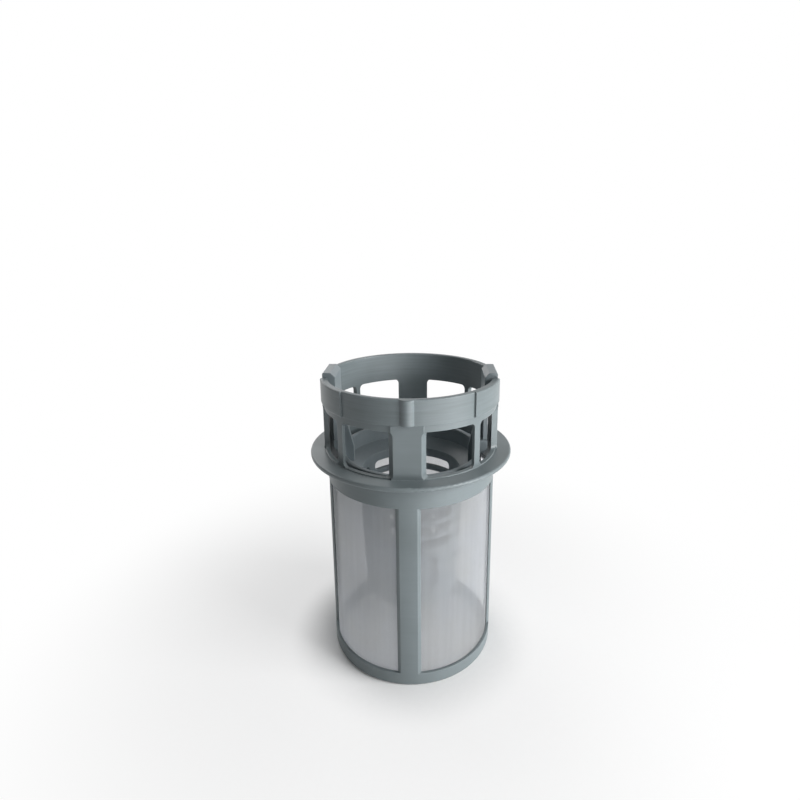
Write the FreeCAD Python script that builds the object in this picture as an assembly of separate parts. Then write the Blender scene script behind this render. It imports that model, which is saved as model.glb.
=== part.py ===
import FreeCAD, Part
import math
import os

from FreeCAD import Vector

# A two-piece cup filter of a dishwasher: a caged mesh cylinder, and a slotted basket that hangs in it.
# All sizes are in millimetres and all angles in degrees.
# The origin is the centre of the cylinder's foot, +Z runs up its axis.
# The front pillar is at -Y, and the notches for the basket's arms are at +X and -X.

# Cylinder heights, from the top down and then up from the foot
frame_height = 127.0
band_height = 10.3
window_drop = 2.7
window_height = 18.7
window_sill_height = 0.4
flange_thickness = 1.9
spigot_height = 10.6
foot_ring_height = 6.0
foot_lip_thickness = 1.6

# Cylinder, bore and what stands out from it
bore_radius = 35.25
collar_wall = 2.25
wall_inset = 0.5
pillar_proud = 0.25
pad_proud = 0.75
rib_proud = 1.2
flange_overhang = 6.6
foot_lip_width = 3.05

# Collar details
quarter_count = 4
post_angle = 47.0
post_width = 3.4
pillar_width = 14.2
pillar_face_width = 10.8
window_corner_radius = 2.0
notch_width = 17.0
pad_start_angle = 43.0
pad_edge_radius = 0.7
bump_radius = 3.1
bump_proud = 1.4
collar_edge_radius = 0.5
flange_edge_radius = 0.7
foot_edge_radius = 1.2

# Cage ribs and mesh
rib_width = 9.8
rib_bevel_width = 1.5
mesh_thickness = 0.5
mesh_overlap = 2.0

# Basket, drops measured down from the top of its rim
basket_height = 69.5
rim_clearance = 4.25
rim_wall = 2.0
rim_height = 7.9
funnel_height = 2.9
funnel_step = 7.4
basket_taper = 3.15
basket_wall = 1.8
basket_floor = 1.8
basket_foot_round = 4.0
neck_round = 0.8
rim_shoulder_round = 2.6
rim_edge_radius = 0.6

# Basket slots
slot_group_count = 6
slot_height = 4.4
slot_pitch = 6.75
slot_land_width = 6.2
slot_corner_radius = 2.0
first_slot_drop = 16.1
last_slot_rise = 31.0
drain_slot_width = 2.8
drain_slot_length = 14.4
drain_slot_rise = 11.7

# Basket arms
arm_width = 12.6
arm_thickness = 1.8
arm_clearance = 2.3
arm_reach = 23.3
head_stand = 1.9
head_side_clearance = 0.8
head_inset = 1.0
head_chamfer = 1.9
head_edge_radius = 0.6
foot_block_height = 5.5
foot_block_width = 14.6
foot_block_skirt = 0.5
foot_block_rise = 2.2
gusset_thickness = 2.0
gusset_top_depth = 0.3
gusset_foot_depth = 5.9
nib_drop = 5.0
nib_height = 2.4
nib_width = 5.0
nib_clearance = 0.7
index_rib_width = 1.6
index_rib_proud = 0.7
index_rib_height = 7.0

# Worked out for the cylinder
collar_radius = bore_radius + collar_wall
wall_radius = collar_radius - wall_inset
pillar_face = wall_radius + pillar_proud
pad_radius = collar_radius + pad_proud
cage_radius = bore_radius + rib_proud
flange_radius = wall_radius + flange_overhang
foot_lip_radius = bore_radius - foot_lip_width
band_bottom = frame_height - band_height
window_top = band_bottom - window_drop
window_sill = window_top - window_height
flange_top = window_sill - window_sill_height
flange_bottom = flange_top - flange_thickness
mesh_top = flange_bottom - spigot_height
mesh_end = mesh_top + mesh_overlap

# Worked out for the basket
rim_radius = bore_radius - rim_clearance
rim_inner_radius = rim_radius - rim_wall
neck_radius = rim_radius - funnel_step
foot_radius = neck_radius - basket_taper
rim_top = band_bottom - arm_reach
basket_bottom = rim_top - basket_height
slot_row_count = 1 + int((basket_height - first_slot_drop - last_slot_rise) / slot_pitch)
arm_outer = bore_radius - arm_clearance
arm_inner = arm_outer - arm_thickness
nib_outer = bore_radius - nib_clearance
head_width = notch_width - 2 * head_side_clearance
head_outer = collar_radius - head_inset
head_top = frame_height + head_stand

# How far a cutter reaches past what it cuts
reach_past = 2.0


def corner_arc(before, corner, after, radius):
    # Tangent points and mid point of an arc that rounds one corner of an outline
    to_before = (before - corner).normalize()
    to_after = (after - corner).normalize()
    half_turn = to_before.getAngle(to_after) / 2
    setback = radius / math.tan(half_turn)
    bisector = (to_before + to_after).normalize()
    centre = corner + bisector * (radius / math.sin(half_turn))
    start = corner + to_before * setback
    end = corner + to_after * setback
    middle = centre - bisector * radius
    return start, middle, end


def outline(corners):
    # Closed wire through corners given as (x, z) or (x, z, radius) in the plane y = 0
    points = [Vector(corner[0], 0, corner[1]) for corner in corners]
    radii = [corner[2] if len(corner) > 2 else 0 for corner in corners]
    count = len(points)
    arcs = []
    for index in range(count):
        if radii[index] > 0:
            after = points[(index + 1) % count]
            arcs.append(corner_arc(points[index - 1], points[index], after, radii[index]))
        else:
            arcs.append((points[index], None, points[index]))
    edges = []
    for index in range(count):
        start, middle, end = arcs[index]
        if middle is not None:
            edges.append(Part.Arc(start, middle, end).toShape())
        following = arcs[(index + 1) % count][0]
        if (following - end).Length > 1e-6:
            edges.append(Part.LineSegment(end, following).toShape())
    return Part.Wire(edges)


def turned(corners, angle=360):
    # Solid turned about the Z axis from an outline of radius and height
    return Part.Face(outline(corners)).revolve(Vector(0, 0, 0), Vector(0, 0, 1), angle)


def ring(inner, outer, bottom, top):
    # Plain ring about the Z axis
    return turned([(inner, bottom), (outer, bottom), (outer, top), (inner, top)])


def about_axis(shape, angle):
    # Copy of a shape, turned about the Z axis from the front (-Y) towards +X
    copy = shape.copy()
    copy.rotate(Vector(0, 0, 0), Vector(0, 0, 1), angle)
    return copy


def front_block(width, near, far, bottom, top):
    # Box across the front, from radius near to radius far
    return Part.makeBox(width, far - near, top - bottom, Vector(-width / 2, -far, bottom))


def front_prism(plan, bottom, top):
    # Upright prism over a plan outline of (x, distance in front of the axis)
    points = [Vector(x, -front, bottom) for x, front in plan]
    points.append(points[0])
    return Part.Face(Part.makePolygon(points)).extrude(Vector(0, 0, top - bottom))


def rounded_cutter(width, bottom, top, radius, near, far):
    # Rounded opening that points to the front, from radius near to radius far
    corner = min(radius, 0.49 * width, 0.49 * (top - bottom))
    half = width / 2
    face = Part.Face(outline([
        (-half, bottom, corner),
        (half, bottom, corner),
        (half, top, corner),
        (-half, top, corner),
    ]))
    face.translate(Vector(0, -near, 0))
    return face.extrude(Vector(0, near - far, 0))


def frame_body():
    # Collar, flange, cage wall, foot ring and the seat of the mesh as one turned body
    return turned([
        (foot_lip_radius, 0),
        (cage_radius, 0, foot_edge_radius),
        (cage_radius, flange_bottom),
        (flange_radius, flange_bottom, flange_edge_radius),
        (flange_radius, flange_top, flange_edge_radius),
        (wall_radius, flange_top),
        (wall_radius, band_bottom),
        (collar_radius, band_bottom),
        (collar_radius, frame_height, collar_edge_radius),
        (bore_radius, frame_height, collar_edge_radius),
        (bore_radius, foot_lip_thickness),
        (foot_lip_radius, foot_lip_thickness),
    ])


def window_wire(left, right, distance):
    # Rounded outline of a window, upright at a distance in front of the axis
    radius = window_corner_radius
    wire = outline([
        (left, window_sill, radius),
        (right, window_sill, radius),
        (right, window_top, radius),
        (left, window_top, radius),
    ])
    wire.translate(Vector(0, -distance, 0))
    return wire


def window_cutter(gap_angle):
    # Window between the front pillar and the post at gap_angle, flared towards the pillar's flat face
    pillar_edge = math.asin(pillar_width / 2 / bore_radius)
    face_edge = math.atan(pillar_face_width / 2 / pillar_face)
    face_radius = math.hypot(pillar_face_width / 2, pillar_face)
    post_edge = math.radians(gap_angle) - math.asin(post_width / 2 / wall_radius)
    middle = (pillar_edge + post_edge) / 2
    inner_side = bore_radius * math.sin(pillar_edge - middle)
    inner_distance = bore_radius * math.cos(pillar_edge - middle)
    outer_side = face_radius * math.sin(face_edge - middle)
    outer_distance = face_radius * math.cos(face_edge - middle)
    slope = (outer_side - inner_side) / (outer_distance - inner_distance)
    near = inner_distance - reach_past
    far = outer_distance + 2 * reach_past
    near_side = inner_side - slope * (inner_distance - near)
    far_side = outer_side + slope * (far - outer_distance)
    right = wall_radius * math.sin(post_edge - middle)
    near_wire = window_wire(near_side, right, near)
    far_wire = window_wire(far_side, right, far)
    cutter = Part.makeLoft([near_wire, far_wire], True, True)
    return about_axis(cutter, math.degrees(middle))


def window_cutters():
    # Two windows beside each of the four pillars, with a narrow post where two of them meet
    cutters = []
    quarter = 360 / quarter_count
    for index in range(quarter_count):
        gap_angle = post_angle if index % 2 == 0 else quarter - post_angle
        right = window_cutter(gap_angle)
        left = right.mirror(Vector(0, 0, 0), Vector(1, 0, 0))
        cutters.append(about_axis(right, index * quarter))
        cutters.append(about_axis(left, index * quarter))
    return cutters


def pillar_faces():
    # Flat-faced blocks on the outside of the four pillars
    block = front_block(
        (pillar_width + pillar_face_width) / 2, (bore_radius + wall_radius) / 2, pillar_face,
        (flange_bottom + flange_top) / 2, band_bottom)
    return [about_axis(block, index * 360 / quarter_count) for index in range(quarter_count)]


def mesh_openings():
    # The four openings of the cage, between its ribs
    openings = ring(bore_radius - reach_past, cage_radius + reach_past, foot_ring_height, mesh_top)
    half = rib_width / 2
    flat_half = half - rib_bevel_width
    far_half = flat_half - rib_bevel_width / rib_proud * reach_past
    plan = [
        (-half, bore_radius - 2 * reach_past),
        (half, bore_radius - 2 * reach_past),
        (half, bore_radius),
        (far_half, cage_radius + reach_past),
        (-far_half, cage_radius + reach_past),
        (-half, bore_radius),
    ]
    rib = front_prism(plan, 0, mesh_end)
    return openings.cut([about_axis(rib, index * 360 / quarter_count) for index in range(quarter_count)])


def collar_pads():
    # Raised pads on the front half of the band, that end at the arm notches
    pad = turned([
        (collar_radius - collar_wall / 2, band_bottom),
        (pad_radius, band_bottom, pad_edge_radius),
        (pad_radius, frame_height, pad_edge_radius),
        (collar_radius - collar_wall / 2, frame_height),
    ], 90 - pad_start_angle)
    right = about_axis(pad, pad_start_angle - 90)
    left = right.mirror(Vector(0, 0, 0), Vector(1, 0, 0))
    return [right, left]


def collar_bump():
    # Half-round rib at the middle of the band's front
    centre = collar_radius + bump_proud - bump_radius
    post = Part.makeCylinder(bump_radius, band_height, Vector(0, -centre, band_bottom))
    round_edges = [edge for edge in post.Edges if edge.Curve.TypeId == "Part::GeomCircle"]
    post = post.makeFillet(collar_edge_radius, round_edges)
    outside = ring(collar_radius - collar_wall / 2, pad_radius + bump_radius, band_bottom, frame_height)
    return post.common(outside)


def arm_notches():
    # Notches through the band at both sides, for the heads of the basket's arms
    reach = pad_radius + reach_past
    return Part.makeBox(
        2 * reach, notch_width, band_height + reach_past, Vector(-reach, -notch_width / 2, band_bottom))


def make_filter_frame():
    # One moulding: collar with windows, flange, caged wall and foot ring
    body = frame_body().fuse(pillar_faces() + collar_pads() + [collar_bump()])
    body = body.cut(window_cutters() + [arm_notches(), mesh_openings()])
    return body.removeSplitter()


def make_mesh_sleeve():
    # Fine filter cloth as a thin sleeve that lines the cage from its foot lip to above the openings
    return ring(bore_radius - mesh_thickness, bore_radius, foot_lip_thickness, mesh_end)


def basket_radius(drop):
    # Outer radius of the tapered basket at a drop below the top of its rim
    neck_drop = rim_height + funnel_height
    return neck_radius - basket_taper * (drop - neck_drop) / (basket_height - neck_drop)


def basket_shell():
    # Rim, funnel, tapered wall and floor, turned as one body
    funnel_top = rim_top - rim_height
    neck = funnel_top - funnel_height
    inner_floor = basket_bottom + basket_floor
    inner_foot = basket_radius(basket_height - basket_floor) - basket_wall
    return turned([
        (0, basket_bottom),
        (foot_radius, basket_bottom, basket_foot_round),
        (neck_radius, neck, neck_round),
        (rim_radius, funnel_top, rim_shoulder_round),
        (rim_radius, rim_top, rim_edge_radius),
        (rim_inner_radius, rim_top, rim_edge_radius),
        (rim_inner_radius, funnel_top + basket_wall / 2),
        (neck_radius - basket_wall, neck + basket_wall / 2),
        (inner_foot, inner_floor, basket_foot_round - basket_wall / 2),
        (0, inner_floor),
    ])


def slot_rows():
    # Rows of long slots round the basket, in groups with a plain land between them
    cutters = []
    group = 360 / slot_group_count
    for row in range(slot_row_count):
        drop = first_slot_drop + row * slot_pitch
        radius = basket_radius(drop)
        land = 2 * math.degrees(math.asin(slot_land_width / 2 / radius))
        width = 2 * radius * math.sin(math.radians((group - land) / 2))
        middle = rim_top - drop
        slot = rounded_cutter(
            width, middle - slot_height / 2, middle + slot_height / 2, slot_corner_radius,
            radius / 2, radius + reach_past)
        for index in range(slot_group_count):
            cutters.append(about_axis(slot, (index + 0.5) * group))
    return cutters


def drain_slots():
    # Narrow upright slots in the lower wall, one below each group
    group = 360 / slot_group_count
    foot = basket_bottom + drain_slot_rise
    slot = rounded_cutter(
        drain_slot_width, foot, foot + drain_slot_length,
        drain_slot_width / 2, foot_radius / 2, neck_radius + reach_past)
    return [about_axis(slot, (index + 0.5) * group) for index in range(slot_group_count)]


def side_prism(profile, width):
    # Prism across the arm, over a side outline of (x, z)
    face = Part.Face(outline(profile))
    face.translate(Vector(0, width / 2, 0))
    return face.extrude(Vector(0, -width, 0))


def arm_head():
    # Head that hooks over the collar's notch, chamfered at its inner top
    return side_prism([
        (arm_inner, band_bottom),
        (head_outer, band_bottom, head_edge_radius),
        (head_outer, head_top, head_edge_radius),
        (arm_inner + head_chamfer, head_top),
        (arm_inner, head_top - head_chamfer),
    ], head_width)


def arm_plate():
    # Upright plate from the rim to the head
    return side_prism([
        (arm_inner, rim_top + foot_block_rise),
        (arm_outer, rim_top + foot_block_rise),
        (arm_outer, (band_bottom + head_top) / 2),
        (arm_inner, (band_bottom + head_top) / 2),
    ], arm_width)


def arm_foot():
    # Thick block that joins the plate to the outside of the rim
    return side_prism([
        (rim_inner_radius + rim_wall / 4, rim_top - foot_block_skirt),
        (rim_radius, rim_top - foot_block_skirt),
        (arm_outer, rim_top + foot_block_rise),
        (arm_outer, rim_top + foot_block_height),
        (rim_inner_radius + rim_wall / 4, rim_top + foot_block_height),
    ], foot_block_width)


def arm_gusset():
    # Slanting web on the inner face of the plate, that runs down inside the rim to the funnel
    web_foot = rim_top - rim_height + basket_wall / 2
    middle = (arm_inner + arm_outer) / 2
    return side_prism([
        (rim_radius - rim_wall / 2, web_foot),
        (arm_inner - gusset_foot_depth, web_foot),
        (arm_inner - gusset_foot_depth, rim_top),
        (arm_inner - gusset_top_depth, band_bottom),
        (middle, band_bottom + gusset_top_depth),
        (middle, rim_top),
        (rim_radius - rim_wall / 2, rim_top),
    ], gusset_thickness)


def arm_nib():
    # Small catch below the head, on the outer face, that just clears the bore
    nib_top = band_bottom - nib_drop
    return side_prism([
        (arm_outer - arm_thickness / 2, nib_top - nib_height),
        (arm_outer, nib_top - nib_height),
        (nib_outer, nib_top - nib_height / 4),
        (nib_outer, nib_top),
        (arm_outer - arm_thickness / 2, nib_top),
    ], nib_width)


def index_rib():
    # Short upright rib inside the back of the rim
    rib = front_block(
        index_rib_width, rim_inner_radius - index_rib_proud, rim_radius - rim_wall / 2,
        rim_top - index_rib_height, rim_top - rim_edge_radius)
    return about_axis(rib, 180)


def make_basket():
    # One moulding: slotted basket with its rim and two arms
    arm_pieces = [arm_head(), arm_plate(), arm_foot(), arm_gusset(), arm_nib()]
    right_arm = arm_pieces[0].fuse(arm_pieces[1:])
    left_arm = about_axis(right_arm, 180)
    body = basket_shell().cut(slot_rows() + drain_slots())
    body = body.fuse([right_arm, left_arm, index_rib()])
    return body.removeSplitter()


def save(shape, name):
    # One file for each piece
    shape.exportStep("parts/" + name + ".step")
    print(name, "solids", len(shape.Solids), "valid", shape.isValid(), "volume", round(shape.Volume, 1))


os.makedirs("parts", exist_ok=True)
save(make_filter_frame(), "filter_frame")
save(make_mesh_sleeve(), "mesh_sleeve")
save(make_basket(), "basket")
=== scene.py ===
import math

import bpy
from mathutils import Matrix, Vector


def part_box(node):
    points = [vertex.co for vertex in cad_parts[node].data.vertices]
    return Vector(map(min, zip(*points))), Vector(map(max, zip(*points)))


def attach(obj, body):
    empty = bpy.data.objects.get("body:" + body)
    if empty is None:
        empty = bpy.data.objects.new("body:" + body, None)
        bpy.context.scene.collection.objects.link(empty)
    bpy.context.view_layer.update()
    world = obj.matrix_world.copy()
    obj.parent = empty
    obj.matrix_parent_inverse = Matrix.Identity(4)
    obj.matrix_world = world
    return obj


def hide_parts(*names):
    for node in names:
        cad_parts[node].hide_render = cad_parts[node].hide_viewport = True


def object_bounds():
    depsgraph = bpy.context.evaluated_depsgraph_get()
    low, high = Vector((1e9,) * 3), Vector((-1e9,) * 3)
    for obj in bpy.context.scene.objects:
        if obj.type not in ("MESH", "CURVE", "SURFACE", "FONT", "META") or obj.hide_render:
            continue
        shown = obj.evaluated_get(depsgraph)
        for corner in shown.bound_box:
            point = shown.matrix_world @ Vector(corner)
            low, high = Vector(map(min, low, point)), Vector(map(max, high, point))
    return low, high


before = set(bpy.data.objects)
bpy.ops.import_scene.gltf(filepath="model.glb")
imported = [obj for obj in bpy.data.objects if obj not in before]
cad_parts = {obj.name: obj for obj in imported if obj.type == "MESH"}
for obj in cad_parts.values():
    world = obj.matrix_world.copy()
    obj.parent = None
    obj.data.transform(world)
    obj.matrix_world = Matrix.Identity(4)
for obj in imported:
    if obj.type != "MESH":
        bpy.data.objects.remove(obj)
cad_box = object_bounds()
cad_low = Vector(cad_box[0])
frame_high = Vector(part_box("filter_frame")[1])
basket_low = Vector(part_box("basket")[0])
sleeve_low, sleeve_high = (Vector(corner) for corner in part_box("mesh_sleeve"))

MM = 0.001
WHITE = (1.0, 1.0, 1.0, 1.0)

# Camera, measured from the photograph, with angles in degrees
IMAGE_PX = 800
FOCAL_PX = 547.1
PRINCIPAL_X = 410.1
PRINCIPAL_Y = 364.6
SENSOR_MM = 36.0
CAMERA_DISTANCE = 226.2 * MM
CAMERA_ABOVE_COLLAR = 61.85 * MM
CAMERA_PITCH = 14.45
CAMERA_TURN = 2.1
CAMERA_ROLL = -0.49
CAMERA_CLIP = 10.0 * MM

# Plastic tones as sRGB levels: dark, light and rubbed
FRAME_TONES = ((101, 110, 112), (113, 122, 125), (140, 149, 152))
BASKET_TONES = ((108, 117, 121), (120, 129, 133), (145, 154, 158))

# Mould marks: level rings on the frame, strongest on its band, and upright lines on the basket
TURNED_MARKS = (0.035, 0.035, 1.0)
DRAWN_MARKS = (0.6, 0.6, 0.03)
TURNED_MARK_SHARE = 0.5
DRAWN_MARK_SHARE = 0.2
COLLAR_BAND_HEIGHT = 10.3 * MM
MARK_SCALE = 1100.0
MARK_FADE = 1.0 * MM
MARK_BELOW = 0.25
MARK_STRENGTH = 0.08
MARK_HEIGHT = 0.06 * MM

# Colour clouds, grain and roughness of the plastic
CLOUD_SCALE = 38.0
CLOUD_SHARE = 0.6
SHADE_OFFSET = 0.2
SHADE_LOW = 0.36
SHADE_HIGH = 0.64
GRAIN_SCALE = 2600.0
GRAIN_STRENGTH = 0.10
GRAIN_HEIGHT = 0.05 * MM
ROUGH_BASE = 0.27
ROUGH_CLOUD = 0.14
ROUGH_GRAIN = 0.10
ROUGH_RUBBED = 0.10
PLASTIC_SPECULAR = 0.4

# Rounded and rubbed edges, and the parting line down the basket's front
EDGE_ROUND = 0.35 * MM
EDGE_ROUND_SAMPLES = 6
EDGE_RUB = 0.7 * MM
EDGE_RUB_SAMPLES = 4
RUB_FLAT = 0.985
RUB_FULL = 0.86
RUB_PATCH_SCALE = 130.0
RUB_PATCH_LOW = 0.40
RUB_PATCH_HIGH = 0.62
RUB_LEAST = 0.15
RUB_MOST = 0.5
PARTING_HALF_WIDTH = 0.2 * MM
PARTING_STRENGTH = 0.8
PARTING_HEIGHT = 0.12 * MM

# Filter cloth: its strip, and slight waves as count round, size and phase
CLOTH_COLUMNS = 240
CLOTH_ROWS = 40
CLOTH_THICKNESS = 0.5 * MM
CLOTH_END_INSET = 0.1 * MM
CLOTH_LAP = 4.0 * MM
CLOTH_LAP_STEP = 0.2 * MM
CLOTH_WAVES = ((17, 0.030 * MM, 0.4), (29, 0.024 * MM, 1.9), (43, 0.015 * MM, 4.1))

# Weave of the cloth, with its tones as sRGB levels
CLOTH_COOL = (226, 228, 232)
CLOTH_PALE = (231, 233, 237)
CLOTH_WARM = (228, 227, 220)
CLOTH_WARM_SHARE = 0.3
THREAD_PITCH = 0.2 * MM
THREAD_STRENGTH = 0.35
THREAD_HEIGHT = 0.04 * MM
THREAD_SPECULAR = 0.35
THREAD_ROUGH_LOW = 0.42
THREAD_ROUGH_HIGH = 0.58
HOLE_EDGE = 0.35
HOLE_MIDDLE = 0.75
OPEN_AT_THREAD = 0.10
OPEN_AT_HOLE = 0.36
OPEN_BY_STREAK = 0.01
CLOTH_GLOW = 0.8
STREAK_SCALE = 420.0
STREAK_STRETCH = 0.03
STREAK_LOW = 0.3
STREAK_HIGH = 0.7
PATCH_SCALE = 45.0
PATCH_LOW = 0.35
PATCH_HIGH = 0.65

# Floor: it fades to the white backdrop, and keeps the shadow near the object
FLOOR_HALF = 3.0
FLOOR_DARK = (233, 233, 233)
FLOOR_LIGHT = (238, 238, 238)
FLOOR_GRAIN_SCALE = 420.0
UNDER_START = 0.034
UNDER_END = 0.060
UNDER_WHITE = 0.62
FLOOR_FADE_START = 0.06
FLOOR_FADE_END = 0.20
SEEN_THROUGH_CLOTH = 0.2

# Light: lamps turn from the front towards +X, with angles in degrees and lengths in metres
KEY_LAMP = dict(turn=68.0, rise=21.0, distance=0.75, aim_height=0.07, size=(0.40, 0.40), watts=7.6)
BOUNCE_LAMP = dict(turn=42.0, rise=3.0, distance=0.26, aim_height=0.02, size=(0.30, 0.05), watts=0.3)
BACK_LAMP = dict(turn=215.0, rise=30.0, distance=0.75, aim_height=0.07, size=(0.5, 0.5), watts=2.2)
WORLD_FILL = 0.11
WORLD_COLOUR = (0.95, 0.98, 1.0, 1.0)


class Nodes:
    """Small helper to build a node tree."""

    def __init__(self, tree):
        self.tree = tree
        self.tree.nodes.clear()

    def add(self, kind, **settings):
        node = self.tree.nodes.new(kind)
        for name, value in settings.items():
            setattr(node, name, value)
        return node

    def wire(self, value, socket):
        """Link an output, or set a plain value."""
        if hasattr(value, "is_output"):
            self.tree.links.new(value, socket)
        else:
            socket.default_value = value

    def math(self, operation, *values, clamp=False):
        node = self.add("ShaderNodeMath", operation=operation, use_clamp=clamp)
        for index, value in enumerate(values):
            self.wire(value, node.inputs[index])
        return node.outputs[0]

    def remap(self, value, low, high, to_low=0.0, to_high=1.0, smooth=False):
        node = self.add("ShaderNodeMapRange", interpolation_type="SMOOTHSTEP" if smooth else "LINEAR")
        for index, item in enumerate((value, low, high, to_low, to_high)):
            self.wire(item, node.inputs[index])
        return node.outputs[0]

    def blend(self, factor, first, second):
        node = self.add("ShaderNodeMix", data_type="RGBA")
        self.wire(factor, node.inputs["Factor"])
        self.wire(first, node.inputs[6])
        self.wire(second, node.inputs[7])
        return node.outputs[2]

    def noise(self, vector, scale, detail=2.0, roughness=0.5):
        node = self.add("ShaderNodeTexNoise")
        self.wire(vector, node.inputs["Vector"])
        node.inputs["Scale"].default_value = scale
        node.inputs["Detail"].default_value = detail
        node.inputs["Roughness"].default_value = roughness
        return node.outputs["Fac"]

    def stretched(self, vector, factors):
        node = self.add("ShaderNodeVectorMath", operation="MULTIPLY")
        self.wire(vector, node.inputs[0])
        node.inputs[1].default_value = factors
        return node.outputs[0]

    def split(self, vector):
        node = self.add("ShaderNodeSeparateXYZ")
        self.wire(vector, node.inputs[0])
        return node.outputs

    def rounded(self, radius, samples):
        node = self.add("ShaderNodeBevel", samples=samples)
        node.inputs["Radius"].default_value = radius
        return node.outputs[0]

    def bump(self, height, strength, distance, normal=None):
        node = self.add("ShaderNodeBump")
        node.inputs["Strength"].default_value = strength
        node.inputs["Distance"].default_value = distance
        self.wire(height, node.inputs["Height"])
        if normal is not None:
            self.wire(normal, node.inputs["Normal"])
        return node.outputs[0]

    def mixed(self, factor, first, second):
        node = self.add("ShaderNodeMixShader")
        self.wire(factor, node.inputs["Fac"])
        self.wire(first, node.inputs[1])
        self.wire(second, node.inputs[2])
        return node.outputs[0]

    def finish(self, surface, kind="ShaderNodeOutputMaterial"):
        node = self.add(kind)
        self.wire(surface, node.inputs["Surface"])


def new_material(name):
    material = bpy.data.materials.new(name)
    material.use_nodes = True
    return material, Nodes(material.node_tree)


def tone(levels):
    """Linear colour of an sRGB tone given as levels from 0 to 255."""
    def linear(level):
        share = level / 255
        return share / 12.92 if share <= 0.04045 else ((share + 0.055) / 1.055) ** 2.4
    return (*(linear(level) for level in levels), 1.0)


def moulded_plastic(name, tones, marks, mark_share, marks_from, parted=False):
    """Satin plastic: mould marks above a height, grain, paler edges and, where asked, a parting line."""
    material, n = new_material(name)
    dark, light, worn = (tone(levels) for levels in tones)
    place = n.add("ShaderNodeTexCoord").outputs["Object"]
    spot = n.split(place)
    cloudy = n.noise(place, CLOUD_SCALE, detail=3.0)
    fine = n.noise(place, GRAIN_SCALE)
    flow = n.noise(n.stretched(place, marks), MARK_SCALE, detail=3.0, roughness=0.6)
    marked = n.remap(spot["Z"], marks_from - MARK_FADE, marks_from + MARK_FADE, MARK_BELOW, 1.0)
    flow = n.math("MULTIPLY", n.math("SUBTRACT", flow, 0.5), marked)

    shade = n.math("MULTIPLY_ADD", cloudy, CLOUD_SHARE, SHADE_OFFSET)
    shade = n.math("MULTIPLY_ADD", flow, mark_share, shade)
    body = n.blend(n.remap(shade, SHADE_LOW, SHADE_HIGH), dark, light)

    facing = n.add("ShaderNodeVectorMath", operation="DOT_PRODUCT")
    n.wire(n.rounded(EDGE_RUB, EDGE_RUB_SAMPLES), facing.inputs[0])
    n.wire(n.add("ShaderNodeNewGeometry").outputs["Normal"], facing.inputs[1])
    rub_patch = n.noise(place, RUB_PATCH_SCALE)
    rub_patch = n.remap(rub_patch, RUB_PATCH_LOW, RUB_PATCH_HIGH, RUB_LEAST, RUB_MOST)
    rubbed = n.remap(facing.outputs["Value"], RUB_FLAT, RUB_FULL)
    rubbed = n.math("MULTIPLY", rubbed, rub_patch, clamp=True)

    rough = n.math("MULTIPLY_ADD", cloudy, ROUGH_CLOUD, ROUGH_BASE)
    rough = n.math("MULTIPLY_ADD", fine, ROUGH_GRAIN, rough)
    rough = n.math("MULTIPLY_ADD", rubbed, ROUGH_RUBBED, rough)

    normal = n.rounded(EDGE_ROUND, EDGE_ROUND_SAMPLES)
    normal = n.bump(fine, GRAIN_STRENGTH, GRAIN_HEIGHT, normal)
    normal = n.bump(flow, MARK_STRENGTH, MARK_HEIGHT, normal)
    if parted:
        off_line = n.math("ABSOLUTE", spot["X"])
        ridge = n.remap(off_line, 0.0, PARTING_HALF_WIDTH, 1.0, 0.0, smooth=True)
        ridge = n.math("MULTIPLY", ridge, n.math("LESS_THAN", spot["Y"], 0.0))
        normal = n.bump(ridge, PARTING_STRENGTH, PARTING_HEIGHT, normal)

    shader = n.add("ShaderNodeBsdfPrincipled")
    shader.inputs["Specular IOR Level"].default_value = PLASTIC_SPECULAR
    n.wire(n.blend(rubbed, body, worn), shader.inputs["Base Color"])
    n.wire(rough, shader.inputs["Roughness"])
    n.wire(normal, shader.inputs["Normal"])
    n.finish(shader.outputs[0])
    return material


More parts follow.
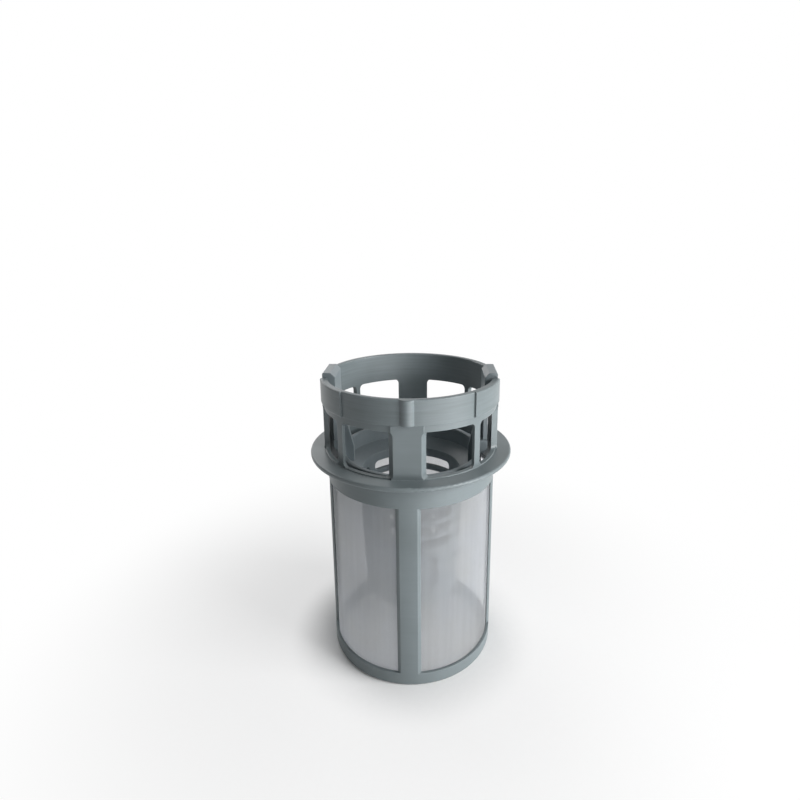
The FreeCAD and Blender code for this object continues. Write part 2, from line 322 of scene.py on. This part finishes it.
def filter_cloth_material():
    """Fine woven filter cloth: pale crossed threads with open meshes between them."""
    material, n = new_material("filter_cloth")
    place = n.add("ShaderNodeTexCoord").outputs["Object"]
    spot = n.split(place)
    turn = n.math("ARCTAN2", spot["Y"], spot["X"])
    threads_round = round(2 * math.pi * sleeve_high.x / THREAD_PITCH)
    warp = n.math("ABSOLUTE", n.math("SINE", n.math("MULTIPLY", turn, threads_round / 2)))
    weft = n.math("ABSOLUTE", n.math("SINE", n.math("MULTIPLY", spot["Z"], math.pi / THREAD_PITCH)))
    gap = n.math("MINIMUM", warp, weft)
    hole = n.remap(gap, HOLE_EDGE, HOLE_MIDDLE, smooth=True)

    round_place = n.add("ShaderNodeCombineXYZ")
    n.wire(n.math("MULTIPLY", turn, sleeve_high.x), round_place.inputs[0])
    n.wire(n.math("MULTIPLY", spot["Z"], STREAK_STRETCH), round_place.inputs[2])
    streaks = n.noise(round_place.outputs[0], STREAK_SCALE)
    patches = n.noise(place, PATCH_SCALE)
    tint = n.blend(n.remap(streaks, STREAK_LOW, STREAK_HIGH), tone(CLOTH_COOL), tone(CLOTH_PALE))
    warmth = n.remap(patches, PATCH_LOW, PATCH_HIGH, 0.0, CLOTH_WARM_SHARE)
    tint = n.blend(warmth, tint, tone(CLOTH_WARM))

    thread = n.add("ShaderNodeBsdfPrincipled")
    thread.inputs["Specular IOR Level"].default_value = THREAD_SPECULAR
    rough = n.remap(streaks, STREAK_LOW, STREAK_HIGH, THREAD_ROUGH_LOW, THREAD_ROUGH_HIGH)
    normal = n.bump(n.math("SUBTRACT", 1.0, gap), THREAD_STRENGTH, THREAD_HEIGHT)
    n.wire(tint, thread.inputs["Base Color"])
    n.wire(rough, thread.inputs["Roughness"])
    n.wire(normal, thread.inputs["Normal"])
    glow = n.add("ShaderNodeBsdfTranslucent")
    n.wire(tint, glow.inputs["Color"])
    woven = n.mixed(CLOTH_GLOW, thread.outputs[0], glow.outputs[0])

    clear = n.add("ShaderNodeBsdfTransparent")
    clear.inputs["Color"].default_value = WHITE
    openness = n.math(
        "ADD",
        n.remap(hole, 0.0, 1.0, OPEN_AT_THREAD, OPEN_AT_HOLE),
        n.remap(streaks, STREAK_LOW, STREAK_HIGH, OPEN_BY_STREAK, -OPEN_BY_STREAK))
    n.finish(n.mixed(openness, woven, clear.outputs[0]))
    return material


def new_object(name, points, faces, material):
    mesh = bpy.data.meshes.new(name)
    mesh.from_pydata(points, [], faces)
    mesh.materials.append(material)
    item = bpy.data.objects.new(name, mesh)
    bpy.context.scene.collection.objects.link(item)
    return item


def make_cloth():
    """One strip of cloth, rolled to a tube that lines the cage, with its lap at the back rib."""
    radius = sleeve_high.x - CLOTH_THICKNESS / 2
    bottom = sleeve_low.z + CLOTH_END_INSET
    top = sleeve_high.z - CLOTH_END_INSET
    lap_turn = CLOTH_LAP / radius
    start = math.pi / 2 - lap_turn / 2
    sweep = 2 * math.pi + lap_turn
    points = []
    for row in range(CLOTH_ROWS + 1):
        rise = row / CLOTH_ROWS
        hold = math.sin(math.pi * rise) ** 0.5 if 0 < rise < 1 else 0.0
        for column in range(CLOTH_COLUMNS + 1):
            along = column / CLOTH_COLUMNS
            angle = start + sweep * along
            ripple = sum(size * math.sin(count * angle + phase) for count, size, phase in CLOTH_WAVES)
            reach = radius - CLOTH_LAP_STEP / 2 + CLOTH_LAP_STEP * along + ripple * hold
            points.append((reach * math.cos(angle), reach * math.sin(angle), bottom + (top - bottom) * rise))
    across = CLOTH_COLUMNS + 1
    faces = [
        (row * across + column, row * across + column + 1,
         (row + 1) * across + column + 1, (row + 1) * across + column)
        for row in range(CLOTH_ROWS) for column in range(CLOTH_COLUMNS)
    ]
    cloth = new_object("filter_cloth", points, faces, filter_cloth_material())
    cloth.data.polygons.foreach_set("use_smooth", [True] * len(faces))
    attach(cloth, "cylinder")
    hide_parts("mesh_sleeve")


def dress(node, material):
    """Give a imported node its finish."""
    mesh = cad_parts[node].data
    mesh.materials.clear()
    mesh.materials.append(material)


def backdrop_rays(n):
    """1 for the rays that see the backdrop, less through the cloth, 0 for those that gather light."""
    path = n.add("ShaderNodeLightPath").outputs
    seen = n.math("MAXIMUM", path["Is Camera Ray"], path["Is Glossy Ray"])
    seen = n.math("MAXIMUM", seen, path["Is Transmission Ray"])
    seen = n.math("SUBTRACT", seen, path["Is Diffuse Ray"], clamp=True)
    through_cloth = n.math("MINIMUM", path["Transparent Depth"], 1.0)
    return n.math("MULTIPLY", seen, n.math("MULTIPLY_ADD", through_cloth, SEEN_THROUGH_CLOTH - 1.0, 1.0))


def make_floor():
    """Pale floor, white where the camera looks at it, that keeps the object's shadow."""
    material, n = new_material("studio_floor")
    place = n.add("ShaderNodeTexCoord").outputs["Object"]
    length = n.add("ShaderNodeVectorMath", operation="LENGTH")
    n.wire(place, length.inputs[0])
    away = length.outputs["Value"]
    near = n.remap(away, UNDER_START, UNDER_END, 0.0, UNDER_WHITE, smooth=True)
    fade = n.remap(away, FLOOR_FADE_START, FLOOR_FADE_END, near, 1.0, smooth=True)
    paper = n.add("ShaderNodeBsdfDiffuse")
    grain = n.noise(place, FLOOR_GRAIN_SCALE, detail=3.0)
    n.wire(n.blend(grain, tone(FLOOR_DARK), tone(FLOOR_LIGHT)), paper.inputs["Color"])
    white = n.add("ShaderNodeEmission")
    white.inputs["Color"].default_value = WHITE
    white.inputs["Strength"].default_value = 1.0
    n.finish(n.mixed(n.math("MULTIPLY", backdrop_rays(n), fade), paper.outputs[0], white.outputs[0]))

    signs = ((-1, -1), (1, -1), (1, 1), (-1, 1))
    corners = [(FLOOR_HALF * across, FLOOR_HALF * along, cad_low.z) for across, along in signs]
    floor = new_object("studio_floor", corners, [(0, 1, 2, 3)], material)


def make_world():
    """White to the camera, plain soft fill for the object."""
    world = bpy.data.worlds.new("studio")
    bpy.context.scene.world = world
    world.use_nodes = True
    n = Nodes(world.node_tree)
    backdrop = n.add("ShaderNodeBackground")
    backdrop.inputs["Color"].default_value = WHITE
    backdrop.inputs["Strength"].default_value = 1.0
    soft = n.add("ShaderNodeBackground")
    soft.inputs["Color"].default_value = WORLD_COLOUR
    soft.inputs["Strength"].default_value = WORLD_FILL
    n.finish(n.mixed(backdrop_rays(n), soft.outputs[0], backdrop.outputs[0]), "ShaderNodeOutputWorld")


def softbox(name, turn, rise, distance, aim_height, size, watts):
    """Soft area lamp that looks at a height on the object's axis."""
    turn = math.radians(turn)
    rise = math.radians(rise)
    aim = Vector((0.0, 0.0, aim_height))
    away = Vector((math.cos(rise) * math.sin(turn), -math.cos(rise) * math.cos(turn), math.sin(rise)))
    light = bpy.data.lights.new(name, "AREA")
    light.shape = "RECTANGLE"
    light.size, light.size_y = size
    light.energy = watts
    lamp = bpy.data.objects.new(name, light)
    lamp.location = aim + away * distance
    lamp.rotation_euler = away.to_track_quat("Z", "Y").to_euler()
    lamp.visible_camera = False
    bpy.context.scene.collection.objects.link(lamp)


def make_camera():
    """Camera at the photograph's viewing angle."""
    data = bpy.data.cameras.new("camera")
    camera = bpy.data.objects.new("camera", data)
    data.sensor_width = SENSOR_MM
    data.lens = FOCAL_PX / IMAGE_PX * SENSOR_MM
    data.shift_x = (IMAGE_PX / 2 - PRINCIPAL_X) / IMAGE_PX
    data.shift_y = (PRINCIPAL_Y - IMAGE_PX / 2) / IMAGE_PX
    data.clip_start = CAMERA_CLIP
    turn = math.radians(CAMERA_TURN)
    place = Vector((
        CAMERA_DISTANCE * math.sin(turn),
        -CAMERA_DISTANCE * math.cos(turn),
        frame_high.z + CAMERA_ABOVE_COLLAR,
    ))
    aim = Matrix.Rotation(turn, 4, "Z") @ Matrix.Rotation(math.radians(90 - CAMERA_PITCH), 4, "X")
    roll = Matrix.Rotation(math.radians(CAMERA_ROLL), 4, "Z")
    camera.matrix_world = Matrix.Translation(place) @ aim @ roll
    bpy.context.scene.collection.objects.link(camera)
    bpy.context.scene.camera = camera


dress("filter_frame", moulded_plastic(
    "frame_plastic", FRAME_TONES, TURNED_MARKS, TURNED_MARK_SHARE, frame_high.z - COLLAR_BAND_HEIGHT))
dress("basket", moulded_plastic(
    "basket_plastic", BASKET_TONES, DRAWN_MARKS, DRAWN_MARK_SHARE, basket_low.z, parted=True))
make_cloth()

make_floor()
make_world()
softbox("key", **KEY_LAMP)
softbox("bounce", **BOUNCE_LAMP)
softbox("back", **BACK_LAMP)
make_camera()
bpy.context.scene.view_settings.view_transform = "Standard"
